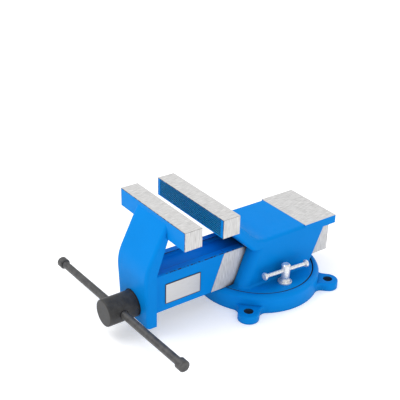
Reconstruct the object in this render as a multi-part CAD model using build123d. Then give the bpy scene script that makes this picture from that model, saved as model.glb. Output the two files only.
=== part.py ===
from build123d import *
import os
from math import cos, pi, radians, sin

# A 100 mm swivel-base bench vise, in millimetres.
# Frame: +Z up, X along the jaws (+X on the operator's right), +Y from the handle to the anvil.
# The origin is on the swivel axis, in the plane of the bench that the base is bolted to.

# ---------------------------------------------------------------- driving dimensions
JAW_WIDTH = 100.0            # length of each jaw along X
JAW_BAR = 17.6               # depth and height of a jaw bar
JAW_TOP = 111.6              # height of the jaws above the bench
FIXED_FACE_Y = -82.9         # gripping face of the fixed jaw
OPENING = 21.6               # gap between the jaws as the vise stands
BAR_EDGE = 0.4               # rounding of a jaw bar's edges
SERRATION_DEPTH = 0.5        # depth of the field cut for the crossed serrations
SERRATION_WIDTH = 92.0
SERRATION_HEIGHT = 15.6

SCREW_Z = 24.4               # height of the screw's axis
SCREW_R = 6.0                # Tr 12 x 3 thread
THREAD_PITCH = 3.0
THREAD_DEPTH = 1.5
RUN_FIT = 0.1                # radial room round a shaft that turns
SLIDE_FIT = 0.3              # room on each side of the beam in its tunnel
GROOVE_FIT = 0.5             # width of the groove round the turntable

RING_R = 60.4                # base ring, outside
RING_H = 18.0
RECESS_R = 54.5              # turntable recess in the ring
LEDGE_R = 46.0               # open middle of the base
LEDGE_Z = 6.0                # underside of the clamping ledge
DISC_Z = 10.6                # underside of the turntable
DISC_R = RECESS_R - GROOVE_FIT
EAR_PCD = 139.0
EAR_R = 10.0
EAR_H = 8.0
EAR_HOLE_R = 4.5

BEAM_X = 18.0                # half width of the sliding beam
BEAM_Z0 = RING_H + SLIDE_FIT # it runs on the turntable
BEAM_Z1 = 56.0
BEAM_END_Y = 75.4
BEAM_RIM = 7.3               # rims beside the recess in the beam's top
BEAM_FLOOR_Z = 52.3
CHANNEL_X = 14.0             # half width of the channel under the beam
CHANNEL_Z = 44.5

CHEEK_FOOT_X = 31.0          # outside of the body's side walls, on the turntable
CHEEK_TOP_X = 32.1           # and under the slab
CHEEK_FRONT_EDGE = 8.0       # rounding of their upright edges in front
CHEEK_REAR_EDGE = 2.0        # and at the back
CHEEK_FOOT_BLEND = 2.5       # hollow rounding where they stand on the turntable
SLAB_X = 32.3                # outside of the anvil slab
SLAB_Z0 = 56.8
SLAB_Z1 = 65.3
ANVIL_Y = 29.3               # where the painted slab ends and the bare anvil begins
ANVIL_END_Y = 68.7

PLATE_X = 24.0               # half width of the moving jaw's front plate
PLATE_BACK_Y = -132.0
PLATE_NECK_Z = 60.3          # where the back of the plate begins to lean
PLATE_FOOT_Z = 9.0
SPOT_FACE_Y = -141.2         # flat face under the thrust washer
HUB_FRONT_Y = -171.6
HUB_R = 12.5
WASHER_T = 2.0
HANDLE_Y = -158.0
HANDLE_TILT = 2.6            # degrees, +X end up
HANDLE_R = 3.5
HANDLE_HALF = 104.0
KNOB_R = 5.0
KNOB_L = 8.0

LOCK_X = 41.3                # lock screws, each side of the swivel axis
LOCK_R = 4.0                 # M8
LOCK_POST_R = 4.2
LOCK_TOP_Z = 37.7
LOCK_BAR_Z = 31.0
LOCK_BAR_R = 1.9
LOCK_BAR_HALF = 25.0
LOCK_BAR_TURN = {1: 4.0, -1: 6.0}    # degrees clockwise that the right and left bars are turned

FRONT_FACE_Y = FIXED_FACE_Y - OPENING
JAW_BOTTOM = JAW_TOP - JAW_BAR
HUB_BACK_Y = SPOT_FACE_Y - WASHER_T


# ---------------------------------------------------------------- helpers
def block(x0, x1, y0, y1, z0, z1):
    """A box between two corners."""
    return Pos((x0 + x1) / 2, (y0 + y1) / 2, (z0 + z1) / 2) * Box(x1 - x0, y1 - y0, z1 - z0)


def upright(x, y, z0, z1, r):
    """A cylinder along Z."""
    return Pos(x, y, (z0 + z1) / 2) * Cylinder(r, z1 - z0)


def along_y(x, z, y0, y1, r):
    """A cylinder along Y."""
    return Pos(x, (y0 + y1) / 2, z) * Rot(90, 0, 0) * Cylinder(r, y1 - y0)


def side_face(points):
    """A face in the YZ plane from (y, z) points."""
    return Plane.YZ * make_face(Polyline(*points, close=True))


def side_slab(face, half_width):
    """A YZ face drawn out to both sides of the middle."""
    return extrude(face, amount=half_width, both=True)


def turned_y(points, x, z):
    """A turned piece whose axis is along Y: (radius, y) points, closed on the axis or as a ring."""
    return Pos(x, 0, z) * revolve(make_face(Polyline(*points, close=True)), Axis.Y)


def turned_z(points, x, y):
    """A turned piece whose axis is along Z: (radius, z) points, closed on the axis or as a ring."""
    return Pos(x, y, 0) * revolve(Plane.XZ * make_face(Polyline(*points, close=True)), Axis.Z)


# ---------------------------------------------------------------- base
def swivel_base():
    """Ring with a clamping ledge inside and four bolt ears outside."""
    ring_profile = Plane.XZ * make_face(Polyline(
        (53.0, 0), (RING_R, 0), (RING_R, RING_H), (RECESS_R + 0.5, RING_H), (RECESS_R, RING_H - 0.5), (RECESS_R, DISC_Z),
        (LEDGE_R, DISC_Z), (LEDGE_R, LEDGE_Z), (53.0, LEDGE_Z), close=True))
    ring = revolve(ring_profile, Axis.Z)
    rim = ring.edges().filter_by(GeomType.CIRCLE).sort_by(SortBy.RADIUS)[-1]
    top_rim = [e for e in ring.edges().filter_by(GeomType.CIRCLE)
               if abs(e.radius - rim.radius) < 0.01 and e.center().Z > RING_H / 2]
    ring = fillet(top_rim, 4.0)

    plan = Circle(RING_R)
    for k in range(4):
        arm = Pos(EAR_PCD / 4, 0) * Rectangle(EAR_PCD / 2, 2 * EAR_R) + Pos(EAR_PCD / 2, 0) * Circle(EAR_R)
        plan += Rot(0, 0, 45 + 90 * k) * arm
    corners = [v for v in plan.vertices() if abs((v.X ** 2 + v.Y ** 2) ** 0.5 - RING_R) < 0.5]
    plan = fillet(corners, 7.0)
    ears = extrude(plan, amount=EAR_H)
    ears = fillet(ears.faces().sort_by(Axis.Z)[-1].edges(), 1.5)
    ears -= upright(0, 0, -1, EAR_H + 1, 55.0)
    base = ring + ears
    for k in range(4):
        a = radians(45 + 90 * k)
        base -= upright(EAR_PCD / 2 * cos(a), EAR_PCD / 2 * sin(a), -1, EAR_H + 1, EAR_HOLE_R)
    return base


# ---------------------------------------------------------------- jaws
def jaw_bar(y_front):
    """A jaw bar, its edges barely broken."""
    bar = block(-JAW_WIDTH / 2, JAW_WIDTH / 2, y_front, y_front + JAW_BAR, JAW_BOTTOM, JAW_TOP)
    return fillet(bar.edges(), BAR_EDGE)


def serration_field(y_face, side):
    """The shallow field in a jaw's gripping face; side is +1 where the jaw lies beyond the face."""
    middle = (JAW_TOP + JAW_BOTTOM) / 2
    y0, y1 = sorted((y_face, y_face + side * SERRATION_DEPTH))
    return block(-SERRATION_WIDTH / 2, SERRATION_WIDTH / 2, y0, y1,
                 middle - SERRATION_HEIGHT / 2, middle + SERRATION_HEIGHT / 2)


NUT_X = 13.6
NUT_Y0 = -36.0
NUT_Y1 = -8.0
NUT_Z0 = 14.0
NUT_Z1 = 33.0
NUT_BOLT_X = 9.8
NUT_BOLT_Y = (NUT_Y0 + NUT_Y1) / 2
NUT_BOLT_R = 2.5
BOLT_HEAD_R = 4.25
BOLT_SEAT_Z = 9.0
BOSS_X = 29.0
BOSS_Y = 40.0
CHEEK_FOOT_Y0 = -43.5        # the side walls lean: their feet stand further forward than their tops
CHEEK_FOOT_Y1 = 39.5
CHEEK_TOP_Y0 = -28.5
CHEEK_TOP_Y1 = 55.0


def fixed_jaw():
    """Turntable, side walls, anvil slab, leaning neck and jaw bar in one casting."""
    disc = upright(0, 0, DISC_Z, RING_H, DISC_R)
    disc = chamfer(disc.faces().sort_by(Axis.Z)[-1].edges(), 0.8)
    boss = block(-BOSS_X, BOSS_X, -BOSS_Y, BOSS_Y, LEDGE_Z, DISC_Z)
    boss = boss & upright(0, 0, LEDGE_Z, DISC_Z, LEDGE_R - 1.0)

    foot = Pos(0, (CHEEK_FOOT_Y0 + CHEEK_FOOT_Y1) / 2, RING_H) * Rectangle(
        2 * CHEEK_FOOT_X, CHEEK_FOOT_Y1 - CHEEK_FOOT_Y0)
    top = Pos(0, (CHEEK_TOP_Y0 + CHEEK_TOP_Y1) / 2, SLAB_Z0) * Rectangle(
        2 * CHEEK_TOP_X, CHEEK_TOP_Y1 - CHEEK_TOP_Y0)
    cheeks = loft([foot, top], ruled=True)
    upright_edges = [e for e in cheeks.edges() if abs(e.center().Z - (RING_H + SLAB_Z0) / 2) < 1.0]
    cheeks = fillet([e for e in upright_edges if e.center().Y < 0], CHEEK_FRONT_EDGE)
    upright_edges = [e for e in cheeks.edges() if abs(e.center().Z - (RING_H + SLAB_Z0) / 2) < 1.0
                     and e.center().Y > CHEEK_FOOT_Y1]
    cheeks = fillet(upright_edges, CHEEK_REAR_EDGE)
    anvil = block(-SLAB_X, SLAB_X, ANVIL_Y, ANVIL_END_Y, SLAB_Z0, SLAB_Z1)

    back_top = (FIXED_FACE_Y + JAW_BAR, 106.0)
    neck_foot = (-27.8, SLAB_Z1)
    neck_line = FilletPolyline(back_top, neck_foot, (ANVIL_Y, SLAB_Z1), radius=28.0)
    neck_face = make_face([neck_line, Polyline((ANVIL_Y, SLAB_Z1), (ANVIL_Y, SLAB_Z0), (-33.0, SLAB_Z0),
                                               (-36.5, SLAB_Z0 + 3.4), (-70.0, JAW_BOTTOM + 1.0),
                                               (-74.0, JAW_BOTTOM + 6.0), (-74.0, 104.0), back_top)])
    neck = side_slab(Plane.YZ * neck_face, SLAB_X)
    sides = [e for e in neck.edges() if abs(abs(e.center().X) - SLAB_X) < 0.1
             and e.center().Z > SLAB_Z0 + 1.0 and FIXED_FACE_Y + JAW_BAR < e.center().Y < ANVIL_Y - 1.0]
    neck = fillet(sides, 3.5)

    body = disc + cheeks
    feet = [e for e in body.edges() if abs(e.center().Z - RING_H) < 0.01
            and (e.center().X ** 2 + e.center().Y ** 2) ** 0.5 < DISC_R - 2.0]
    body = fillet(feet, CHEEK_FOOT_BLEND)
    body += boss + anvil + neck + jaw_bar(FIXED_FACE_Y)
    body -= serration_field(FIXED_FACE_Y, 1)
    tunnel_x = BEAM_X + SLIDE_FIT
    body -= block(-tunnel_x, tunnel_x, -60, 80, BEAM_Z0 - SLIDE_FIT, BEAM_Z1 + SLIDE_FIT)
    body -= block(-NUT_X - 0.1, NUT_X + 0.1, NUT_Y0 - 0.1, NUT_Y1 + 0.1, NUT_Z0, BEAM_Z0)
    for side in (-1, 1):
        body -= upright(side * LOCK_X, 0, 0, 30, LOCK_R + 0.3)
        body -= upright(side * NUT_BOLT_X, NUT_BOLT_Y, 0, NUT_Z0 + 1, NUT_BOLT_R + 0.2)
        body -= upright(side * NUT_BOLT_X, NUT_BOLT_Y, 0, BOLT_SEAT_Z, BOLT_HEAD_R + 0.5)
    return body


def beam():
    """H-shaped beam: a shallow recess along its top and a deep channel for the screw below."""
    width = 2 * BEAM_X
    section = Pos(0, (BEAM_Z0 + BEAM_Z1) / 2) * Rectangle(width, BEAM_Z1 - BEAM_Z0)
    section = chamfer(section.vertices().group_by(Axis.Y)[-1], 1.0)
    recess_x = BEAM_X - BEAM_RIM
    recess = Pos(0, (BEAM_FLOOR_Z + BEAM_Z1 + 5) / 2) * Rectangle(2 * recess_x, BEAM_Z1 + 5 - BEAM_FLOOR_Z)
    channel = Pos(0, (BEAM_Z0 - 5 + CHANNEL_Z) / 2) * Rectangle(2 * CHANNEL_X, CHANNEL_Z - BEAM_Z0 + 5)
    section -= fillet(recess.vertices().group_by(Axis.Y)[0], 2.0)
    section -= fillet(channel.vertices().group_by(Axis.Y)[-1], 4.0)
    front = Plane(origin=(0, PLATE_BACK_Y, 0), x_dir=(1, 0, 0), z_dir=(0, -1, 0))
    return extrude(front * section, amount=PLATE_BACK_Y - BEAM_END_Y)


def moving_jaw():
    """Front plate, leaning neck, jaw bar and the hollow beam behind them in one casting."""
    front = FilletPolyline((-141.0, PLATE_FOOT_Z), (-143.8, 63.6), (-122.0, 107.4), radius=40.0)
    plate_face = make_face([front, Polyline((-122.0, 107.4), (-118.0, 107.4), (-118.0, 98.0),
                                            (-120.3, JAW_BOTTOM), (PLATE_BACK_Y, PLATE_NECK_Z),
                                            (PLATE_BACK_Y, PLATE_FOOT_Z), (-141.0, PLATE_FOOT_Z))])
    plate = side_slab(Plane.YZ * plate_face, PLATE_X)
    outer = [e for e in plate.edges() if abs(abs(e.center().X) - PLATE_X) < 0.01
             and e.center().Y < PLATE_BACK_Y - 1.0 and e.center().Z > PLATE_FOOT_Z + 1.0]
    plate = fillet(outer, 3.0)
    jaw = plate + beam() + jaw_bar(FRONT_FACE_Y - JAW_BAR)
    jaw -= serration_field(FRONT_FACE_Y, -1)
    jaw -= along_y(0, SCREW_Z, -150, PLATE_BACK_Y + 1, SCREW_R + RUN_FIT)
    jaw -= along_y(0, SCREW_Z, -150, SPOT_FACE_Y, HUB_R + 1.0)
    return jaw


def nameplate():
    """Thin blank plate on the beam's right side."""
    plate = block(BEAM_X, BEAM_X + 0.5, -119.6, -81.6, 24.7, 45.2)
    return fillet(plate.edges().filter_by(Axis.X), 1.0)


# ---------------------------------------------------------------- screw and its pieces
COLLAR_R = 10.0
WASHER_BACK_Y = PLATE_BACK_Y + WASHER_T
COLLAR_Y0 = WASHER_BACK_Y + 8.0
COLLAR_Y1 = COLLAR_Y0 + 8.0
PIN_Y = (COLLAR_Y0 + COLLAR_Y1) / 2
PIN_R = 1.5
THREAD_Y0 = -62.0
SCREW_TIP_Y = 68.0


def thread_outline():
    """(radius, y) points along the thread: one crest and one root for each pitch."""
    crest = 0.366 * THREAD_PITCH
    flank = THREAD_PITCH / 2 - crest
    root_r = SCREW_R - THREAD_DEPTH
    points = []
    turns = int((SCREW_TIP_Y - 2.0 - THREAD_Y0) / THREAD_PITCH)
    for k in range(turns):
        y = THREAD_Y0 + k * THREAD_PITCH
        points += [(SCREW_R, y), (root_r, y + flank), (root_r, y + flank + crest),
                   (SCREW_R, y + 2 * flank + crest)]
    return points


def lead_screw():
    """Hub with the handle's cross hole, plain shank and thread, turned in one piece."""
    outline = [(0, HUB_FRONT_Y), (HUB_R - 1.2, HUB_FRONT_Y), (HUB_R, HUB_FRONT_Y + 1.2),
               (HUB_R, HUB_BACK_Y), (SCREW_R, HUB_BACK_Y)]
    outline += thread_outline()
    outline += [(SCREW_R, SCREW_TIP_Y - 1.5), (SCREW_R - THREAD_DEPTH, SCREW_TIP_Y), (0, SCREW_TIP_Y)]
    screw = turned_y(outline, 0, SCREW_Z)
    cross = Rot(0, -HANDLE_TILT, 0) * Rot(0, 90, 0) * Cylinder(HANDLE_R + RUN_FIT, 3 * HUB_R)
    screw -= Pos(0, HANDLE_Y, SCREW_Z) * cross
    screw -= Pos(0, PIN_Y, SCREW_Z) * Rot(0, 90, 0) * Cylinder(PIN_R, 3 * SCREW_R)
    return screw


def ring_washer(y0, y1, outer, inner):
    """A flat washer about the screw, its outer edges broken."""
    c = 0.3
    return turned_y([(inner, y0), (outer - c, y0), (outer, y0 + c), (outer, y1 - c), (outer - c, y1),
                     (inner, y1)], 0, SCREW_Z)


def thrust_washer():
    """Between the hub and the moving jaw."""
    return ring_washer(HUB_BACK_Y, SPOT_FACE_Y, HUB_R, SCREW_R + RUN_FIT)


def retaining_washer():
    """Behind the front plate, under the retaining spring."""
    return ring_washer(PLATE_BACK_Y, WASHER_BACK_Y, COLLAR_R, SCREW_R + RUN_FIT)


def retaining_spring():
    """Holds the hub against the jaw, so that the jaw follows the screw back."""
    wire_r = 0.9
    turns = 2.5
    height = COLLAR_Y0 - WASHER_BACK_Y - 2 * wire_r - 0.2
    path = Helix(pitch=height / turns, height=height, radius=SCREW_R + 1.9)
    wire = sweep((path ^ 0) * Circle(wire_r), path=path)
    return Pos(0, WASHER_BACK_Y + wire_r + 0.1, SCREW_Z) * Rot(-90, 0, 0) * wire


def retaining_collar():
    """Pinned on the screw behind the spring."""
    collar = ring_washer(COLLAR_Y0, COLLAR_Y1, COLLAR_R, SCREW_R)
    return collar - Pos(0, PIN_Y, SCREW_Z) * Rot(0, 90, 0) * Cylinder(PIN_R, 3 * COLLAR_R)


def collar_pin():
    """Pin through the collar and the screw."""
    pin = Cylinder(PIN_R, 2 * COLLAR_R - 0.6)
    return Pos(0, PIN_Y, SCREW_Z) * Rot(0, 90, 0) * chamfer(pin.edges().filter_by(GeomType.CIRCLE), 0.3)


def spindle_nut():
    """Nut block seated in the turntable, inside the beam's channel."""
    nut = block(-NUT_X, NUT_X, NUT_Y0, NUT_Y1, NUT_Z0, NUT_Z1)
    nut = chamfer(nut.faces().sort_by(Axis.Z)[-1].edges(), 2.0)
    nut -= along_y(0, SCREW_Z, NUT_Y0 - 1, NUT_Y1 + 1, SCREW_R + RUN_FIT)
    for side in (-1, 1):
        nut -= upright(side * NUT_BOLT_X, NUT_BOLT_Y, NUT_Z0 - 1, BOLT_SEAT_Z + 18.0, NUT_BOLT_R)
    return nut


def nut_bolts():
    """Two socket screws that hold the nut block down from under the turntable."""
    bolts = []
    for side in (-1, 1):
        x, y = side * NUT_BOLT_X, NUT_BOLT_Y
        shank_r = NUT_BOLT_R - 0.02
        head_z = BOLT_SEAT_Z - 6.0
        bolt = turned_z([(0, head_z), (BOLT_HEAD_R - 0.5, head_z), (BOLT_HEAD_R, head_z + 0.5),
                         (BOLT_HEAD_R, BOLT_SEAT_Z), (shank_r, BOLT_SEAT_Z), (shank_r, BOLT_SEAT_Z + 16.4),
                         (shank_r - 0.6, BOLT_SEAT_Z + 17.0), (0, BOLT_SEAT_Z + 17.0)], x, y)
        socket = extrude(Pos(x, y, head_z) * RegularPolygon(2.0, 6, major_radius=False), amount=3.0)
        bolts.append(bolt - socket)
    return Compound(children=bolts)


# ---------------------------------------------------------------- handle
SPIGOT_R = 2.5
BAR_HALF = HANDLE_HALF - KNOB_L


def along_handle(piece):
    """Places a piece made along X on the handle's own axis."""
    return Pos(0, HANDLE_Y, SCREW_Z) * Rot(0, -HANDLE_TILT, 0) * piece


def handle_bar():
    """Sliding bar with a reduced spigot at each end."""
    end = BAR_HALF + KNOB_L - 2.0
    half = [(0, HANDLE_R), (BAR_HALF, HANDLE_R), (BAR_HALF, SPIGOT_R), (end, SPIGOT_R)]
    outline = [(-x, r) for x, r in reversed(half[1:])] + half[1:]
    outline = [(-end, 0)] + outline + [(end, 0)]
    return along_handle(revolve(make_face(Polyline(*outline, close=True)), Axis.X))


def handle_knob(side):
    """Knob on the bar's left (-1) or right (+1) end, with a groove at its inner edge."""
    x0, x1 = BAR_HALF, BAR_HALF + KNOB_L
    deep = x1 - 2.0
    outline = [(x0, SPIGOT_R), (x0, KNOB_R - 0.8), (x0 + 0.8, KNOB_R), (x1 - 1.0, KNOB_R),
               (x1, KNOB_R - 1.0), (x1, 0), (deep, 0), (deep, SPIGOT_R)]
    outline = [(side * x, r) for x, r in outline]
    return along_handle(revolve(make_face(Polyline(*outline, close=True)), Axis.X))


# ---------------------------------------------------------------- swivel locks
LOCK_WASHER_R = 6.7
LOCK_WASHER_T = 1.6
POST_Z0 = RING_H + LOCK_WASHER_T
SHANK_Z0 = 1.8
CLAMP_T = 4.5
CLAMP_HALF = 9.0


def lock_place(side, piece):
    """Places a piece made about the Z axis on a lock screw, its bar turned off the cheek."""
    return Pos(side * LOCK_X, 0, 0) * Rot(0, 0, -LOCK_BAR_TURN[side]) * piece


def lock_screw(side):
    """Post with a cross hole for its bar, and the M8 shank below it."""
    post = turned_z([(0, SHANK_Z0), (LOCK_R - 0.6, SHANK_Z0), (LOCK_R, SHANK_Z0 + 0.6), (LOCK_R, POST_Z0),
                     (LOCK_POST_R + 0.6, POST_Z0), (LOCK_POST_R + 0.6, POST_Z0 + 1.0),
                     (LOCK_POST_R - 0.5, POST_Z0 + 2.0), (LOCK_POST_R, POST_Z0 + 5.0),
                     (LOCK_POST_R, LOCK_TOP_Z - 1.2), (LOCK_POST_R - 1.2, LOCK_TOP_Z), (0, LOCK_TOP_Z)], 0, 0)
    post -= Pos(0, 0, LOCK_BAR_Z) * Rot(90, 0, 0) * Cylinder(LOCK_BAR_R + 0.1, 4 * LOCK_POST_R)
    return lock_place(side, post)


def lock_washer(side):
    """Flat washer under the post."""
    z0, z1 = RING_H, POST_Z0
    outline = [(LOCK_R + 0.15, z0), (LOCK_WASHER_R, z0), (LOCK_WASHER_R, z1 - 0.4), (LOCK_WASHER_R - 0.4, z1),
               (LOCK_R + 0.15, z1)]
    return lock_place(side, turned_z(outline, 0, 0))


LOCK_DISC_T = 2.4
LOCK_DISC_R = 3.6
LOCK_SPIGOT_R = 1.2
LOCK_BAR_BODY = LOCK_BAR_HALF - LOCK_DISC_T


def lock_bar(side):
    """Small sliding bar through the post, with a spigot at each end."""
    tip = LOCK_BAR_HALF - 0.4
    half = [(LOCK_BAR_R, LOCK_BAR_BODY), (LOCK_SPIGOT_R, LOCK_BAR_BODY), (LOCK_SPIGOT_R, tip), (0, tip)]
    outline = [(r, -y) for r, y in reversed(half)] + half
    bar = revolve(make_face(Polyline(*outline, close=True)), Axis.Y)
    return lock_place(side, Pos(0, 0, LOCK_BAR_Z) * bar)


def lock_bar_ends(side):
    """The two discs riveted on the bar."""
    y0, y1 = LOCK_BAR_BODY, LOCK_BAR_HALF
    outline = [(LOCK_SPIGOT_R, y0), (LOCK_DISC_R - 0.3, y0), (LOCK_DISC_R, y0 + 0.3),
               (LOCK_DISC_R, y1 - 0.5), (LOCK_DISC_R - 0.5, y1), (LOCK_SPIGOT_R, y1)]
    disc = revolve(make_face(Polyline(*outline, close=True)), Axis.Y)
    both = [lock_place(side, Pos(0, 0, LOCK_BAR_Z) * Rot(0, 0, turn) * disc) for turn in (0, 180)]
    return Compound(children=both)


def clamp_nut(side):
    """Strap nut that pulls up under the base's ledge, its heel on the turntable."""
    inner = BOSS_X + 0.4
    strap = block(inner, 50.5, -CLAMP_HALF, CLAMP_HALF, LEDGE_Z - CLAMP_T, LEDGE_Z)
    heel = block(inner, 36.0, -CLAMP_HALF, CLAMP_HALF, LEDGE_Z, DISC_Z)
    nut = strap + heel - upright(LOCK_X, 0, 0, DISC_Z, LOCK_R + 0.02)
    return nut if side > 0 else Rot(0, 0, 180) * nut


def both_sides(name, make):
    """One node for each side of a piece that the vise has twice."""
    return {f"{name}_right": lambda: make(1), f"{name}_left": lambda: make(-1)}


PARTS = {
    "swivel_base": swivel_base,
    "fixed_jaw": fixed_jaw,
    "moving_jaw": moving_jaw,
    "nameplate": nameplate,
    "lead_screw": lead_screw,
    "thrust_washer": thrust_washer,
    "retaining_washer": retaining_washer,
    "retaining_spring": retaining_spring,
    "retaining_collar": retaining_collar,
    "collar_pin": collar_pin,
    "spindle_nut": spindle_nut,
    "nut_bolts": nut_bolts,
    "handle_bar": handle_bar,
    **both_sides("handle_knob", handle_knob),
    **both_sides("lock_screw", lock_screw),
    **both_sides("lock_washer", lock_washer),
    **both_sides("lock_bar", lock_bar),
    **both_sides("lock_bar_ends", lock_bar_ends),
    **both_sides("clamp_nut", clamp_nut),
}

os.makedirs("parts", exist_ok=True)
for name, make in PARTS.items():
    export_step(make(), f"parts/{name}.step")
    print(name)
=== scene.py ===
# %% [markdown]
# # A small swivel-base bench vise
# The shapes of this vise come from an exact solid model, which is loaded here as a fixed frame and is
# never moved or edited. Blender's share is the look of it: the enamel, the ground steel, the blackened
# screw, and the few shapes that are easier to make as meshes, such as the helical thread and the
# serrations. Each step below says what the real thing is, how it could be made, and why this way was
# chosen.

# %% Load the frame
import math

import bmesh
import bpy
from mathutils import Matrix, Vector


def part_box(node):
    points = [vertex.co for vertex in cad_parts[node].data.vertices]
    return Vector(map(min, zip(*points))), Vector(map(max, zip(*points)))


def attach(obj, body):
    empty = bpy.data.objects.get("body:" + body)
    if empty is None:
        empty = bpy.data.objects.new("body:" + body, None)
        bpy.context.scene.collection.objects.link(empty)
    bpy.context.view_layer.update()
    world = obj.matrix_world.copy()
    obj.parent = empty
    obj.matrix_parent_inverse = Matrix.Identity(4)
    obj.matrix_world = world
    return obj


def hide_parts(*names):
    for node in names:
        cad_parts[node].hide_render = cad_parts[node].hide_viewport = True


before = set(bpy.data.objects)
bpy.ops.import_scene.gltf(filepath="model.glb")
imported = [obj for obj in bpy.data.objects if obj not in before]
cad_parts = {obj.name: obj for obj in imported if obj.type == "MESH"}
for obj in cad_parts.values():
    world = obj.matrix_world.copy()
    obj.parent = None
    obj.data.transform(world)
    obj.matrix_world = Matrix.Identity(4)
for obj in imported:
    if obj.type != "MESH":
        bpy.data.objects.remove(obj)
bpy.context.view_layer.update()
MM = 0.001

# %% [markdown]
# ## Where things are
# Lengths in this file are metres, written as so many `MM`. The frame's own boxes give some of the places
# that the finishes need: the top of the jaws, their gripping faces and the sides of the sliding beam.
# Others, such as the top of the anvil, are given as numbers. Reading them from the frame means that a
# finish can't drift off its part when the model changes.

# %% Landmarks
fixed_low, fixed_high = [Vector(c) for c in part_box("fixed_jaw")]
slide_high = Vector(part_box("moving_jaw")[1])
screw_low, screw_high = [Vector(c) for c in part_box("lead_screw")]
plate_low, plate_high = [Vector(c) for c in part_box("nameplate")]
washer_low = Vector(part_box("thrust_washer")[0])

JAW_TOP = fixed_high.z
JAW_HALF = slide_high.x
JAW_BAR = 17.6 * MM
FIXED_FACE = fixed_low.y
MOVING_FACE = FIXED_FACE - 21.6 * MM
BEAM_SIDE = plate_low.x
BEAM_TOP = 56.0 * MM
BEAM_RIM = 7.3 * MM
SLAB_TOP = 65.3 * MM
PLATE_BACK = -118.0 * MM         # behind this the beam's top lies open to wear
ANVIL_START = 29.3 * MM
SCREW_AXIS_Z = (screw_low.z + screw_high.z) / 2
HUB_RADIUS = (screw_high.z - screw_low.z) / 2
HANDLE_Y = -158.0 * MM
GROOVE_RADIUS = 54.25 * MM       # middle of the groove round the turntable
GROOVE_DEPTH = 7.2 * MM
RING_TOP = 18.0 * MM
EAR_HOLE = 49.15 * MM            # each bolt hole's distance from the middle along X and along Y
print("jaw top", round(JAW_TOP / MM, 1), "faces", round(FIXED_FACE / MM, 1), round(MOVING_FACE / MM, 1))
print("beam side", round(BEAM_SIDE / MM, 1), "screw axis at height", round(SCREW_AXIS_Z / MM, 1))

# %% [markdown]
# ## The camera
# A product picture like this is taken from a little over three quarters of a metre, above the
# operator's right shoulder. A camera is easiest to reason about as a point that it looks at, two
# angles, a roll and a distance. The three axes are worked out from the angles, so that nothing is left
# to a tracking constraint.

# %% Camera
AZIMUTH, ELEVATION, ROLL = (math.radians(a) for a in (53.47, 27.12, 1.6))
LOOK_AT = Vector((-16.7, -58.8, 95.7)) * MM
CAMERA_DISTANCE = 745.9 * MM


def camera_axes(azimuth, elevation, roll):
    """Right, up and backward axes of a camera that looks down at the object."""
    back = Vector((math.sin(azimuth) * math.cos(elevation), -math.cos(azimuth) * math.cos(elevation),
                   math.sin(elevation)))
    right = Vector((math.cos(azimuth), math.sin(azimuth), 0.0))
    up = back.cross(right)
    rolled_right = right * math.cos(roll) + up * math.sin(roll)
    rolled_up = up * math.cos(roll) - right * math.sin(roll)
    return rolled_right, rolled_up, back


def add_camera():
    """The camera that shows the whole vise."""
    right, up, back = camera_axes(AZIMUTH, ELEVATION, ROLL)
    data = bpy.data.cameras.new("studio_camera")
    data.sensor_width = 36.0
    data.lens = 73.76
    camera = bpy.data.objects.new("studio_camera", data)
    turn = Matrix((right, up, back)).transposed().to_4x4()
    camera.matrix_world = Matrix.Translation(LOOK_AT + back * CAMERA_DISTANCE) @ turn
    bpy.context.scene.collection.objects.link(camera)
    bpy.context.scene.camera = camera
    return camera


camera = add_camera()
print("camera at, mm:", [round(v / MM) for v in camera.matrix_world.translation])

# %% [markdown]
# ## Floor and light
# The vise stands on a pale sweep in a white tent. A bright even world gives the tent's soft light from
# every side. One large lamp high on the left and a weaker one on the right give the tops their
# brightness and the turned steel its highlights. The colours are shown with the plain Standard
# transform, because a filmic one would wash out a saturated enamel.

# %% Floor and lamps
FLOOR_HALF = 4.0


def shader_nodes(name):
    """A new node material: (material, nodes, links, principled shader)."""
    material = bpy.data.materials.new(name)
    material.use_nodes = True
    nodes = material.node_tree.nodes
    return material, nodes, material.node_tree.links, nodes["Principled BSDF"]


def add_floor():
    """One large square, far wider than the view."""
    mesh = bpy.data.meshes.new("sweep")
    corners = [(-FLOOR_HALF, -FLOOR_HALF, 0), (FLOOR_HALF, -FLOOR_HALF, 0),
               (FLOOR_HALF, FLOOR_HALF, 0), (-FLOOR_HALF, FLOOR_HALF, 0)]
    mesh.from_pydata(corners, [], [(0, 1, 2, 3)])
    floor = bpy.data.objects.new("sweep", mesh)
    bpy.context.scene.collection.objects.link(floor)
    material, _, _, shader = shader_nodes("sweep_paper")
    shader.inputs["Base Color"].default_value = (0.90, 0.90, 0.90, 1)
    shader.inputs["Emission Color"].default_value = (1.0, 1.0, 1.0, 1)
    shader.inputs["Emission Strength"].default_value = 0.32
    shader.inputs["Roughness"].default_value = 0.9
    shader.inputs["Specular IOR Level"].default_value = 0.1
    mesh.materials.append(material)
    return floor


def add_lamp(name, place, aim, size, power):
    """A square soft box at a place, turned to face its aim."""
    data = bpy.data.lights.new(name, "AREA")
    data.size = size
    data.energy = power
    lamp = bpy.data.objects.new(name, data)
    lamp.location = place
    lamp.rotation_euler = (Vector(aim) - Vector(place)).to_track_quat("-Z", "Y").to_euler()
    bpy.context.scene.collection.objects.link(lamp)
    return lamp


def add_world(strength):
    """An even white world."""
    world = bpy.data.worlds.new("tent")
    world.use_nodes = True
    background = world.node_tree.nodes["Background"]
    background.inputs["Color"].default_value = (1.0, 1.0, 1.0, 1)
    background.inputs["Strength"].default_value = strength
    bpy.context.scene.world = world


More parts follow.
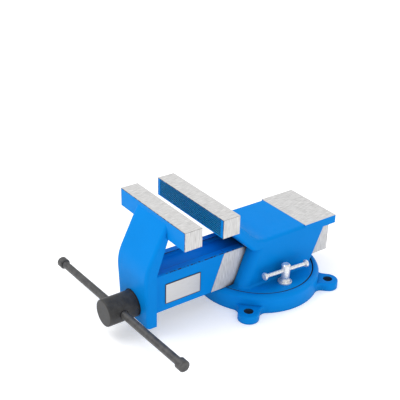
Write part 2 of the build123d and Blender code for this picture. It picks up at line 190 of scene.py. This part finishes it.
add_floor()
add_world(0.72)
middle = (0.0, -0.05, 0.05)
add_lamp("key_softbox", (-0.55, -0.75, 1.25), middle, 1.0, 10.5)
add_lamp("side_softbox", (1.2, -0.35, 0.75), middle, 0.9, 3.0)
add_lamp("back_softbox", (-0.2, 1.3, 1.0), middle, 0.9, 4.0)
bpy.context.scene.view_settings.view_transform = "Standard"
print("three soft boxes and a white tent")

# %% [markdown]
# ## Small tools for finishes
# A finish here is a tree of shader nodes. Three things come up again and again: a noise at a given
# size of grain, a mask that is one beyond some plane of the part, and a mix between two colours. Each
# gets a short helper. Every mask works in the part's own coordinates, in metres, so the finish is
# fixed to the metal and moves with it.

# %% Finish helpers


class Finish:
    """A node material being built, with the part's own coordinates at hand."""

    def __init__(self, name):
        self.material, self.nodes, self.links, self.shader = shader_nodes(name)
        coordinates = self.nodes.new("ShaderNodeTexCoord")
        self.place = coordinates.outputs["Object"]
        self.normal = coordinates.outputs["Normal"]
        self.x, self.y, self.z = self.split(self.place)

    def split(self, vector):
        """The three parts of a vector."""
        node = self.nodes.new("ShaderNodeSeparateXYZ")
        self.links.new(vector, node.inputs[0])
        return node.outputs

    def put(self, value, socket):
        """Feeds a socket from another socket or from a plain value."""
        if isinstance(value, bpy.types.NodeSocket):
            self.links.new(value, socket)
        elif isinstance(value, (tuple, list)) and len(value) == 3 and socket.type == "RGBA":
            socket.default_value = (*value, 1.0)
        else:
            socket.default_value = value

    def math(self, operation, a, b=0.0, clamp=False):
        """One arithmetic step."""
        node = self.nodes.new("ShaderNodeMath")
        node.operation = operation
        node.use_clamp = clamp
        self.put(a, node.inputs[0])
        self.put(b, node.inputs[1])
        return node.outputs[0]

    def ramp(self, value, low, high, to_low=0.0, to_high=1.0):
        """Goes smoothly from to_low to to_high as the value goes from low to high."""
        node = self.nodes.new("ShaderNodeMapRange")
        node.interpolation_type = "SMOOTHSTEP"
        for socket, given in zip(node.inputs, (value, low, high, to_low, to_high)):
            self.put(given, socket)
        return node.outputs[0]

    def beyond(self, value, level, soft=0.04 * MM):
        """One where the value is above the level."""
        return self.ramp(value, level - soft, level + soft)

    def below(self, value, level, soft=0.04 * MM):
        """One where the value is under the level."""
        return self.ramp(value, level - soft, level + soft, 1.0, 0.0)

    def both(self, *masks):
        """One where all the masks are."""
        result = masks[0]
        for mask in masks[1:]:
            result = self.math("MULTIPLY", result, mask)
        return result

    def either(self, *masks):
        """One where any of the masks is."""
        result = masks[0]
        for mask in masks[1:]:
            result = self.math("MAXIMUM", result, mask)
        return result

    def stretch(self, x, y, z):
        """The part's coordinates, multiplied by a factor for each axis."""
        node = self.nodes.new("ShaderNodeVectorMath")
        node.operation = "MULTIPLY"
        self.links.new(self.place, node.inputs[0])
        node.inputs[1].default_value = (x, y, z)
        return node.outputs[0]

    def noise(self, grain, detail=2.0, vector=None, roughness=0.5):
        """Noise whose blobs are about one grain across, from 0 to 1."""
        node = self.nodes.new("ShaderNodeTexNoise")
        self.links.new(vector or self.place, node.inputs["Vector"])
        node.inputs["Scale"].default_value = 1.0 / grain
        node.inputs["Detail"].default_value = detail
        node.inputs["Roughness"].default_value = roughness
        return node.outputs["Fac"]

    def mix(self, mask, a, b):
        """Colour a where the mask is 0, b where it is 1."""
        node = self.nodes.new("ShaderNodeMix")
        node.data_type = "RGBA"
        self.put(mask, node.inputs["Factor"])
        self.put(a, node.inputs["A"])
        self.put(b, node.inputs["B"])
        return node.outputs["Result"]

    def blend(self, mask, a, b):
        """Number a where the mask is 0, b where it is 1."""
        node = self.nodes.new("ShaderNodeMix")
        self.put(mask, node.inputs["Factor"])
        self.put(a, node.inputs["A"])
        self.put(b, node.inputs["B"])
        return node.outputs["Result"]

    def bump(self, height, depth, strength=1.0, under=None):
        """Raises the surface by a height field of the given real depth."""
        node = self.nodes.new("ShaderNodeBump")
        node.inputs["Distance"].default_value = depth
        node.inputs["Strength"].default_value = strength
        self.links.new(height, node.inputs["Height"])
        if under is not None:
            self.links.new(under, node.inputs["Normal"])
        return node.outputs["Normal"]

    def corners(self, reach):
        """Dark in tight corners, 1 on open faces."""
        node = self.nodes.new("ShaderNodeAmbientOcclusion")
        node.samples = 8
        node.inputs["Distance"].default_value = reach
        return node.outputs["AO"]

    def wear(self, **inputs):
        """Feeds the shader's sockets by name, with underscores for spaces."""
        for name, value in inputs.items():
            self.put(value, self.shader.inputs[name.replace("_", " ")])
        return self.material


def coat(node, material):
    """Gives a CAD node one material."""
    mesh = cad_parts[node].data
    mesh.materials.clear()
    mesh.materials.append(material)


print("finish helpers ready")

# %% [markdown]
# ## Blue enamel and ground steel on one casting
# The castings are sprayed blue all over, and then the working faces are ground bare: the tops and ends
# of the jaws, the anvil, and the part of the beam that slides in the body. Paint and steel could be two
# materials on two sets of faces, but the paint line on the beam runs across a face and has a ragged
# edge. So one material holds both, and a mask in the casting's own coordinates chooses between them. A
# thin dark line follows the edge of the paint, where primer and grinding dust show. The same dark colour
# is painted shade on the walls of the groove round the turntable and in the bolt holes. Corners get
# painted shade, and some dirt, from an ambient occlusion node that knows how closed in each point is;
# wider hollows of the enamel get a deeper painted shade the same way.

# %% Enamel and steel
ENAMEL = (0.0008, 0.245, 0.74)
ENAMEL_DEEP = (0.0006, 0.212, 0.65)
ENAMEL_PAINTED_SHADE = (0.0004, 0.085, 0.19)
PRIMER_AND_SHADE = (0.030, 0.026, 0.022)
STEEL = (0.76, 0.755, 0.75)
STEEL_DULL = (0.46, 0.455, 0.45)
SHADE_AND_GRIME = (0.012, 0.012, 0.014)
PAINT_SHADE_AND_DIRT_REACH = 3.0 * MM      # how far painted shade and dirt creep out of a corner, on paint and on bare steel
STEEL_SHADE_AND_DIRT_REACH = 8.0 * MM
PAINTED_SHADE_REACH = 24.0 * MM          # size of the hollows where the enamel gets painted shade


def casting_finish(name, bare_masks):
    """Enamel, with bare ground steel where the mask function says."""
    f = Finish(name)
    ragged = f.math("SUBTRACT", f.noise(1.2 * MM, detail=3.0), 0.5)
    ragged = f.math("MULTIPLY", ragged, 0.35 * MM)
    bare, line = bare_masks(f, ragged)

    # enamel: slow drift of colour, painted shade in hollows, orange peel, and an uneven casting under it
    drift = f.noise(28 * MM, detail=2.0)
    paint = f.mix(drift, ENAMEL_DEEP, ENAMEL)
    grain = f.noise(0.7 * MM, detail=2.0)
    paint = f.mix(f.ramp(grain, 0.35, 0.75, 0.0, 0.35), paint, ENAMEL_DEEP)
    peel = f.noise(1.6 * MM, detail=2.0)
    cast = f.noise(9 * MM, detail=3.0)
    # painted shade: the enamel turns darker in hollows found by ambient occlusion
    paint = f.mix(f.ramp(f.corners(PAINTED_SHADE_REACH), 0.15, 0.70, 0.75, 0.0), paint, ENAMEL_PAINTED_SHADE)
    paint_rough = f.ramp(f.noise(5 * MM), 0.3, 0.7, 0.34, 0.44)

    # steel: fine grinding lines, across the tops and up the sides, and faint stains
    facing_up = f.ramp(f.math("ABSOLUTE", f.split(f.normal)[2]), 0.4, 0.8)
    lines_side = f.noise(0.45 * MM, detail=3.0, vector=f.stretch(1.0, 1.0, 0.05))
    lines_top = f.noise(0.45 * MM, detail=3.0, vector=f.stretch(1.0, 0.06, 1.0))
    lines = f.blend(facing_up, lines_side, lines_top)
    stain = f.noise(11 * MM, detail=4.0, roughness=0.6)
    steel = f.mix(f.ramp(lines, 0.25, 0.75), STEEL_DULL, STEEL)
    steel = f.mix(f.ramp(stain, 0.5, 0.8, 0.0, 0.35), steel, STEEL_DULL)
    steel_rough = f.ramp(stain, 0.3, 0.8, 0.40, 0.52)

    colour = f.mix(bare, paint, steel)
    # the dark marks: thin lines at the paint's edges, and on some castings painted shade on the groove
    # walls and in the bolt holes
    colour = f.mix(line, colour, PRIMER_AND_SHADE)
    # painted shade, with some dirt, in corners and between parts, found by ambient occlusion
    shade_and_dirt_paint = f.ramp(f.corners(PAINT_SHADE_AND_DIRT_REACH), 0.15, 0.70, 0.70, 0.0)
    shade_and_dirt_steel = f.ramp(f.corners(STEEL_SHADE_AND_DIRT_REACH), 0.45, 0.85, 0.95, 0.0)
    colour = f.mix(f.blend(bare, shade_and_dirt_paint, shade_and_dirt_steel), colour, SHADE_AND_GRIME)
    height = f.blend(bare, f.math("ADD", f.math("MULTIPLY", peel, 0.35), cast), lines)
    depth = f.bump(height, 0.10 * MM, strength=0.55)
    return f.wear(Base_Color=colour, Metallic=f.math("MULTIPLY", bare, 0.20),
                  Roughness=f.blend(bare, paint_rough, steel_rough), Normal=depth,
                  Specular_IOR_Level=f.blend(bare, 0.04, 0.25))


def edge_line(f, distance, ragged, half_width):
    """A thin line where the distance is nearly nothing, broken up by noise."""
    away = f.math("ABSOLUTE", f.math("ADD", distance, ragged))
    line = f.ramp(away, 0.3 * half_width, half_width, 1.0, 0.0)
    return f.both(line, f.ramp(f.noise(3.5 * MM, detail=2.0), 0.35, 0.6, 0.45, 0.95))


GROUND = 0.30 * MM


def jaw_bare(f):
    """Tops and ends of a jaw bar."""
    in_bar = f.beyond(f.z, JAW_TOP - JAW_BAR - 0.1 * MM)
    top = f.beyond(f.z, JAW_TOP - GROUND)
    ends = f.both(in_bar, f.beyond(f.math("ABSOLUTE", f.x), JAW_HALF - GROUND))
    return f.either(top, ends), in_bar


def jaw_lines(f, ragged, in_bar):
    """Dark line round the ground faces of a jaw bar."""
    top_line = edge_line(f, f.math("SUBTRACT", f.z, JAW_TOP - GROUND), 0.0, 0.65 * MM)
    end_distance = f.math("SUBTRACT", f.math("ABSOLUTE", f.x), JAW_HALF - GROUND)
    end_line = f.both(in_bar, edge_line(f, end_distance, 0.0, 0.65 * MM))
    return f.both(f.either(top_line, end_line), f.below(f.z, JAW_TOP - 0.05 * MM),
                  f.below(f.math("ABSOLUTE", f.x), JAW_HALF - 0.05 * MM))


def radius(f, middle_x, middle_y, x=None, y=None):
    """Distance from an upright axis."""
    away_x = f.math("SUBTRACT", f.x if x is None else x, middle_x)
    away_y = f.math("SUBTRACT", f.y if y is None else y, middle_y)
    square = f.math("ADD", f.math("MULTIPLY", away_x, away_x), f.math("MULTIPLY", away_y, away_y))
    return f.math("SQRT", square)


def groove_walls(f):
    """The two walls of the groove round the turntable, under its rim, where shade is painted."""
    in_groove = f.beyond(radius(f, 0.0, 0.0), GROOVE_RADIUS - 0.7 * MM)
    under_rim = f.below(f.z, RING_TOP - 0.2 * MM, 0.15 * MM)
    return f.both(in_groove, under_rim, f.beyond(f.z, RING_TOP - GROOVE_DEPTH))


def fixed_bare(f, ragged):
    """Bare steel on the fixed casting: jaw bar and anvil."""
    jaw, in_bar = jaw_bare(f)
    edge = f.math("ADD", f.math("SUBTRACT", f.y, ANVIL_START), ragged)
    anvil_top = f.both(f.beyond(f.z, SLAB_TOP - 0.15 * MM), f.below(f.z, SLAB_TOP + 2 * MM))
    anvil = f.both(anvil_top, f.beyond(edge, 0.0, 0.08 * MM))
    anvil_line = f.both(anvil_top, edge_line(f, edge, 0.0, 0.25 * MM))
    # the dark marks include painted shade on the groove walls
    return (f.either(jaw, anvil),
            f.either(jaw_lines(f, ragged, in_bar), f.math("MULTIPLY", anvil_line, 0.6), groove_walls(f)))


PAINT_LINE_TOP = -55.1 * MM     # where the paint ends on the beam's side, at its top edge
PAINT_LINE_FOOT = -69.2 * MM    # and at its bottom edge
BEAM_FOOT = 18.3 * MM


def moving_bare(f, ragged):
    """Bare steel on the sliding casting: jaw bar, and the beam behind a slanted paint line."""
    jaw, in_bar = jaw_bare(f)
    lean = (PAINT_LINE_TOP - PAINT_LINE_FOOT) / (BEAM_TOP - BEAM_FOOT)
    start = f.math("ADD", f.math("MULTIPLY", f.math("SUBTRACT", f.z, BEAM_FOOT), lean), PAINT_LINE_FOOT)
    edge = f.math("ADD", f.math("SUBTRACT", f.y, start), ragged)
    in_beam = f.below(f.z, BEAM_TOP + 1 * MM)
    side = f.beyond(f.math("ABSOLUTE", f.x), BEAM_SIDE - 0.12 * MM)
    top = f.beyond(f.z, BEAM_TOP - 0.15 * MM)
    foot = f.below(f.z, BEAM_FOOT + 0.15 * MM)
    ground = f.both(in_beam, f.either(side, foot), f.beyond(edge, 0.0, 0.08 * MM))
    rear = f.beyond(f.y, slide_high.y - 0.2 * MM)
    line = f.both(in_beam, f.either(side, top), edge_line(f, edge, 0.0, 0.3 * MM))
    across = f.math("ABSOLUTE", f.x)
    behind_plate = f.beyond(f.y, PLATE_BACK, 8 * MM)
    rim_inner = f.math("SUBTRACT", across, BEAM_SIDE - BEAM_RIM)
    rim_line = f.both(f.beyond(f.z, BEAM_TOP - 0.7 * MM), in_beam, behind_plate,
                      edge_line(f, rim_inner, ragged, 0.4 * MM))
    worn = f.ramp(f.noise(2.2 * MM), 0.40, 0.60, 0.1, 0.9)
    broken_edge = f.both(in_beam, behind_plate, f.beyond(f.z, BEAM_TOP - 0.9 * MM),
                         f.beyond(across, BEAM_SIDE - 0.9 * MM), worn)
    return (f.either(jaw, ground, rear),
            f.either(jaw_lines(f, ragged, in_bar), line, rim_line, broken_edge))


def base_bare(f, ragged):
    """The base is painted all over; the walls of its groove and its bolt holes are darkened with painted
    shade.
    """
    # painted shade on the groove walls and inside the bolt holes
    groove = f.both(groove_walls(f), f.below(radius(f, 0.0, 0.0), GROOVE_RADIUS + 0.9 * MM))
    corner_x = f.math("ABSOLUTE", f.x)
    corner_y = f.math("ABSOLUTE", f.y)
    from_hole = radius(f, EAR_HOLE, EAR_HOLE, corner_x, corner_y)
    holes = f.both(f.below(from_hole, 4.6 * MM), f.below(f.z, 7.6 * MM))
    return f.beyond(f.z, 1.0), f.either(groove, f.math("MULTIPLY", holes, 0.8))


coat("fixed_jaw", casting_finish("blue_enamel_fixed", fixed_bare))
coat("moving_jaw", casting_finish("blue_enamel_moving", moving_bare))
coat("swivel_base", casting_finish("blue_enamel_base", base_bare))
print("three castings finished in enamel and steel")

# %% [markdown]
# ## Blackened, bright and plated steel
# The screw, its hub, the tommy bar and its knobs are turned steel with a black oxide finish: dark,
# fairly matt, and rubbed a little lighter by hands. The hub has painted shade round the hole where the
# bar goes through it, and corners get painted shade too.
# The swivel locks are zinc plated and bright. The nut and the clamps under the table are rough cast
# iron. Turned pieces get fine lines round their own axis, made from noise squeezed along that axis.

# %% Plain metal finishes
BAR_R = 3.5 * MM
BAR_TILT = math.radians(2.6)


def dark_steel(name, along, shade=1.0, bored=False):
    """Black oxide, turned about the axis given as a stretch; bored is true where the bar goes through,
    which gets a ring of painted shade.
    """
    f = Finish(name)
    turned = f.noise(0.45 * MM, detail=2.0, vector=f.stretch(*along))
    cloud = f.noise(6 * MM, detail=4.0, roughness=0.6)
    low, high, rubbed = [tuple(shade * c for c in grey) for grey in (
        (0.050, 0.050, 0.052), (0.088, 0.087, 0.086), (0.14, 0.14, 0.135))]
    colour = f.mix(f.ramp(cloud, 0.35, 0.7), low, high)
    speck = f.ramp(f.noise(0.9 * MM, detail=2.0), 0.62, 0.74, 0.0, 0.5)
    colour = f.mix(speck, colour, rubbed)
    # painted shade round the hole where the bar goes through the hub
    if bored:
        rise = f.math("SUBTRACT", f.z, SCREW_AXIS_Z)
        rise = f.math("SUBTRACT", f.math("MULTIPLY", rise, math.cos(BAR_TILT)),
                      f.math("MULTIPLY", f.x, math.sin(BAR_TILT)))
        from_bar = radius(f, HANDLE_Y, 0.0, f.y, rise)
        colour = f.mix(f.below(from_bar, BAR_R + 0.9 * MM, 0.2 * MM), colour, SHADE_AND_GRIME)
    # painted shade, with some dirt, in corners, found by ambient occlusion
    colour = f.mix(f.ramp(f.corners(3.0 * MM), 0.2, 0.8, 0.85, 0.0), colour, SHADE_AND_GRIME)
    normal = f.bump(turned, 0.03 * MM, strength=0.5)
    return f.wear(Base_Color=colour, Metallic=0.35, Normal=normal,
                  Roughness=f.ramp(cloud, 0.3, 0.7, 0.42, 0.56))


def zinc_plate(name):
    """Bright zinc, slightly uneven."""
    f = Finish(name)
    cloud = f.noise(2.5 * MM, detail=3.0)
    colour = f.mix(cloud, (0.78, 0.78, 0.78), (0.88, 0.88, 0.87))
    normal = f.bump(f.noise(0.8 * MM), 0.02 * MM, strength=0.4)
    return f.wear(Base_Color=colour, Metallic=0.7, Normal=normal,
                  Roughness=f.ramp(cloud, 0.3, 0.7, 0.26, 0.36))


def bright_steel(name):
    """Plain machined steel with fine turning lines."""
    f = Finish(name)
    lines = f.noise(0.4 * MM, vector=f.stretch(0.2, 1.0, 0.2))
    colour = f.mix(lines, (0.50, 0.50, 0.49), (0.64, 0.64, 0.63))
    normal = f.bump(lines, 0.02 * MM, strength=0.5)
    return f.wear(Base_Color=colour, Metallic=1.0, Roughness=0.34, Normal=normal)


def cast_iron(name):
    """Rough grey iron."""
    f = Finish(name)
    grain = f.noise(1.1 * MM, detail=4.0, roughness=0.65)
    colour = f.mix(grain, (0.10, 0.10, 0.10), (0.24, 0.235, 0.23))
    normal = f.bump(grain, 0.15 * MM, strength=0.7)
    return f.wear(Base_Color=colour, Metallic=0.6, Roughness=0.62, Normal=normal)


ALONG_Y = (0.12, 1.0, 0.12)
ALONG_X = (1.0, 0.12, 0.12)
screw_black = dark_steel("black_screw_steel", ALONG_Y, shade=0.55, bored=True)
washer_black = dark_steel("black_washer_steel", ALONG_Y, shade=0.3)
bar_black = dark_steel("black_bar_steel", ALONG_X, shade=1.1)
zinc = zinc_plate("bright_zinc")
bright = bright_steel("bright_turned_steel")
iron = cast_iron("grey_iron")

for node in ("thrust_washer", "retaining_collar", "nut_bolts"):
    coat(node, washer_black)
for node in ("handle_bar", "handle_knob_left", "handle_knob_right"):
    coat(node, bar_black)
for node in ("retaining_washer", "retaining_spring", "collar_pin"):
    coat(node, bright)
for side in ("left", "right"):
    coat(f"clamp_nut_{side}", iron)
    for node in ("lock_screw", "lock_washer", "lock_bar", "lock_bar_ends"):
        coat(f"{node}_{side}", zinc)
coat("spindle_nut", iron)
print("plain metals given to the remaining nodes")

# %% [markdown]
# ## Nameplate
# A thin foil plate is stuck on the right side of the beam. It carries no words here: only a brushed
# silver face and a fine dark border, drawn by the distance from the plate's own edges.

# %% Plate finish
def plate_finish():
    """Brushed foil with a dark border line."""
    f = Finish("satin_foil")
    middle_y = (plate_low.y + plate_high.y) / 2
    middle_z = (plate_low.z + plate_high.z) / 2
    half_y = (plate_high.y - plate_low.y) / 2
    half_z = (plate_high.z - plate_low.z) / 2
    in_y = f.math("SUBTRACT", half_y, f.math("ABSOLUTE", f.math("SUBTRACT", f.y, middle_y)))
    in_z = f.math("SUBTRACT", half_z, f.math("ABSOLUTE", f.math("SUBTRACT", f.z, middle_z)))
    from_edge = f.math("MINIMUM", in_y, in_z)
    border = f.ramp(from_edge, 0.60 * MM, 0.90 * MM, 1.0, 0.0)
    brushed = f.noise(0.35 * MM, vector=f.stretch(1.0, 0.05, 1.0))
    colour = f.mix(brushed, (0.56, 0.55, 0.54), (0.68, 0.67, 0.66))
    colour = f.mix(border, colour, (0.02, 0.02, 0.025))
    normal = f.bump(brushed, 0.01 * MM, strength=0.4)
    return f.wear(Base_Color=colour, Metallic=f.ramp(border, 0.0, 1.0, 0.7, 0.1),
                  Roughness=0.4, Normal=normal)


coat("nameplate", plate_finish())
plate_size = plate_high - plate_low
print("blank plate,", round(plate_size.y / MM), "by", round(plate_size.z / MM, 1), "mm")

# %% [markdown]
# ## New pieces as meshes
# Two shapes are made here rather than in the solid model, because they are patterns more than solids.
# Both are written straight as points and faces. A helper turns such a list into an object, makes its
# faces look outwards, smooths only its gentle edges and lets it ride on a body of the frame.

# %% Piece helper
SMOOTH_ANGLE = math.radians(35)


def make_piece(name, points, faces, body, slot, material):
    """A mesh object of the vise that moves with a body."""
    mesh = bpy.data.meshes.new(name)
    mesh.from_pydata([tuple(p) for p in points], [], faces)
    shape = bmesh.new()
    shape.from_mesh(mesh)
    bmesh.ops.remove_doubles(shape, verts=shape.verts, dist=0.002 * MM)
    bmesh.ops.dissolve_degenerate(shape, edges=shape.edges, dist=0.001 * MM)
    bmesh.ops.recalc_face_normals(shape, faces=shape.faces)
    for edge in shape.edges:
        edge.smooth = len(edge.link_faces) == 2 and edge.calc_face_angle(0.0) < SMOOTH_ANGLE
    for face in shape.faces:
        face.smooth = True
    open_edges = sum(1 for edge in shape.edges if len(edge.link_faces) != 2)
    shape.to_mesh(mesh)
    shape.free()
    mesh.materials.append(material)
    piece = bpy.data.objects.new(name, mesh)
    bpy.context.scene.collection.objects.link(piece)
    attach(piece, body)
    print(name, "has", len(mesh.polygons), "faces and", open_edges, "open edges")
    return piece


# %% [markdown]
# ## Crossed serrations
# The gripping faces are cut with two sets of V grooves at right angles, each at 45 degrees to the
# jaw, which leaves rows of small four-sided points. A bump map would look right from afar and flat
# from close by. As points sit on a plain lattice, real geometry is cheap: each point is a pyramid on
# a diamond, and the diamonds tile the field. Along the border the pyramids are cut in half.

# %% Serrations
FIELD_WIDTH = 92.0 * MM
FIELD_HEIGHT = 15.6 * MM
FIELD_DEPTH = 0.5 * MM
POINTS_ACROSS = 48
POINTS_UP = 8
POINT_HEIGHT = 0.42 * MM


def serration_field(face_y, into):
    """Points and faces of a field at face_y; into is the direction of the metal, +1 or -1."""
    step_x = FIELD_WIDTH / POINTS_ACROSS
    step_z = FIELD_HEIGHT / POINTS_UP
    left = -FIELD_WIDTH / 2
    foot = JAW_TOP - JAW_BAR / 2 - FIELD_HEIGHT / 2
    tip_y = face_y + into * 0.03 * MM
    valley_y = tip_y + into * POINT_HEIGHT
    back_y = face_y + into * FIELD_DEPTH
    points, faces = [], []
    lattice = {}

    def at(i, j):
        """Lattice point: tips where i + j is even, valleys where it is odd, in half steps."""
        if (i, j) not in lattice:
            y = tip_y if (i + j) % 2 == 0 else valley_y
            lattice[(i, j)] = len(points)
            points.append((left + i * step_x / 2, y, foot + j * step_z / 2))
        return lattice[(i, j)]

    for i in range(2 * POINTS_ACROSS):
        for j in range(2 * POINTS_UP):
            a, b, c, d = at(i, j), at(i + 1, j), at(i + 1, j + 1), at(i, j + 1)
            # each cell holds one valley line, so it is split along the diagonal between its valleys
            if (i + j) % 2 == 0:
                faces += [(a, b, d), (b, c, d)]
            else:
                faces += [(a, b, c), (a, c, d)]
    rim = [(i, 0) for i in range(2 * POINTS_ACROSS)]
    rim += [(2 * POINTS_ACROSS, j) for j in range(2 * POINTS_UP)]
    rim += [(i, 2 * POINTS_UP) for i in range(2 * POINTS_ACROSS, 0, -1)]
    rim += [(0, j) for j in range(2 * POINTS_UP, 0, -1)]
    front = [at(i, j) for i, j in rim]
    back = []
    for index in front:
        x, _, z = points[index]
        back.append(len(points))
        points.append((x, back_y, z))
    count = len(front)
    for k in range(count):
        n = (k + 1) % count
        faces.append((front[k], front[n], back[n], back[k]))
    faces.append(tuple(back))
    return points, faces


def serration_finish(name, face_y):
    """Enamel on the points of a field, with painted light on the tips and painted shade down in the
    grooves.
    """
    f = Finish(name)
    deep = f.math("ABSOLUTE", f.math("SUBTRACT", f.y, face_y))
    # painted light and shade: bright enamel on the tips, near black down in the grooves
    colour = f.mix(f.ramp(deep, 0.10 * MM, 0.30 * MM), (0.018, 0.42, 0.90), (0.001, 0.07, 0.17))
    cloud = f.noise(14 * MM, detail=3.0)
    colour = f.mix(f.ramp(cloud, 0.35, 0.7, 0.0, 0.3), colour, (0.004, 0.10, 0.36))
    return f.wear(Base_Color=colour, Roughness=0.5, Specular_IOR_Level=0.1)


for name, face_y, into, body in (("fixed", FIXED_FACE, 1, "jaw_body"),
                                 ("moving", MOVING_FACE, -1, "slide")):
    enamel = serration_finish(f"blue_enamel_{name}_serrations", face_y)
    make_piece(f"{name}_serrations", *serration_field(face_y, into), body, "blue_paint", enamel)

# %% [markdown]
# ## The lead screw
# The solid model draws the thread as a stack of rings, which is enough for weight and fit. The real
# one is a helix: one trapezoidal tooth that climbs three millimetres in each turn. To make it, the
# tooth's outline is carried round the axis in small steps, and each step moves it along by its share
# of the pitch. The hub at the front is a turned shape with a cross hole for the bar, cut with a
# boolean, since a hole through a cylinder has a saddle-shaped rim that is tedious to write by hand.

# %% Screw
PITCH = 3.0 * MM
SCREW_R = 6.0 * MM
ROOT_R = 4.5 * MM
THREAD_START = -62.0 * MM
CREST = 0.366 * PITCH
FLANK = PITCH / 2 - CREST
TURN_STEPS = 48
BAR_ROOM = 0.1 * MM


def helix_thread(start, end):
    """Points and faces of one thread between two places along Y."""
    outline = [(0.0, SCREW_R), (CREST, SCREW_R), (CREST + FLANK, ROOT_R), (2 * CREST + FLANK, ROOT_R)]
    turns = int(math.ceil((end - start) / PITCH)) + 1
    points, faces = [], []
    rows = (turns + 1) * TURN_STEPS
    for k in range(rows):
        angle = 2 * math.pi * k / TURN_STEPS
        for offset, radius in outline + [(PITCH, SCREW_R)]:
            y = start - PITCH + offset + PITCH * k / TURN_STEPS
            y = min(max(y, start), end)
            points.append((radius * math.cos(angle), y, SCREW_AXIS_Z + radius * math.sin(angle)))
    wide = len(outline) + 1
    for k in range(rows - 1):
        for s in range(wide - 1):
            a = k * wide + s
            faces.append((a, a + 1, a + 1 + wide, a + wide))
    return points, faces


def turned(outline, steps=96):
    """Points and faces of a shape turned about the screw's axis, from (y, radius) points."""
    points, faces = [], []
    for y, radius in outline:
        for k in range(steps):
            angle = 2 * math.pi * k / steps
            points.append((radius * math.cos(angle), y, SCREW_AXIS_Z + radius * math.sin(angle)))
    for row in range(len(outline) - 1):
        for k in range(steps):
            n = (k + 1) % steps
            a, b = row * steps, (row + 1) * steps
            faces.append((a + k, a + n, b + n, b + k))
    faces.append(tuple(range(steps)))
    last = (len(outline) - 1) * steps
    faces.append(tuple(range(last, last + steps)))
    return points, faces


def rounded(y, radius, size, towards, steps=5):
    """(y, radius) points of a rounded outer edge at y; towards is +1 where the metal is beyond y."""
    arc = []
    for k in range(steps + 1):
        angle = math.pi / 2 * k / steps
        arc.append((y + towards * size * (1 - math.sin(angle)), radius - size * (1 - math.cos(angle))))
    return arc[::-1] if towards > 0 else arc


def hub_shape():
    """The hub and the plain shank behind it."""
    hub_back = washer_low.y
    face = [(screw_low.y, HUB_RADIUS - 1.4 * MM)]
    front_edge = rounded(screw_low.y, HUB_RADIUS, 1.2 * MM, 1)
    back_edge = [(hub_back - 0.4 * MM, HUB_RADIUS), (hub_back, HUB_RADIUS - 0.4 * MM)]
    shank = [(hub_back, SCREW_R), (THREAD_START, SCREW_R)]
    return turned(face + front_edge + back_edge + shank)


def cut_cross_hole(piece):
    """Bores the bar's hole through the hub."""
    bpy.ops.mesh.primitive_cylinder_add(vertices=64, radius=BAR_R + BAR_ROOM, depth=4 * HUB_RADIUS)
    cutter = bpy.context.object
    cutter.matrix_world = (Matrix.Translation((0, HANDLE_Y, SCREW_AXIS_Z))
                           @ Matrix.Rotation(math.pi / 2 - BAR_TILT, 4, "Y"))
    bore = piece.modifiers.new("cross_hole", "BOOLEAN")
    bore.object = cutter
    bore.solver = "EXACT"
    bpy.context.view_layer.update()
    evaluated = piece.evaluated_get(bpy.context.evaluated_depsgraph_get())
    mesh = bpy.data.meshes.new_from_object(evaluated)
    piece.modifiers.clear()
    piece.data = mesh
    bpy.data.objects.remove(cutter)


screw_hub = make_piece("screw_hub", *hub_shape(), "spindle", "dark_steel", screw_black)
cut_cross_hole(screw_hub)
screw_thread = make_piece("screw_thread", *helix_thread(THREAD_START, screw_high.y - 1.0 * MM),
                          "spindle", "dark_steel", screw_black)
tip = [(screw_high.y - 1.0 * MM, ROOT_R), (screw_high.y, ROOT_R - 1.0 * MM)]
core = [(THREAD_START - 1.0 * MM, ROOT_R - 0.2 * MM)]
screw_core = make_piece("screw_core", *turned(core + tip), "spindle", "dark_steel", screw_black)
for piece in (screw_hub, screw_thread, screw_core):
    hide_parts("lead_screw")
print("thread of", round((screw_high.y - THREAD_START) / PITCH), "turns")
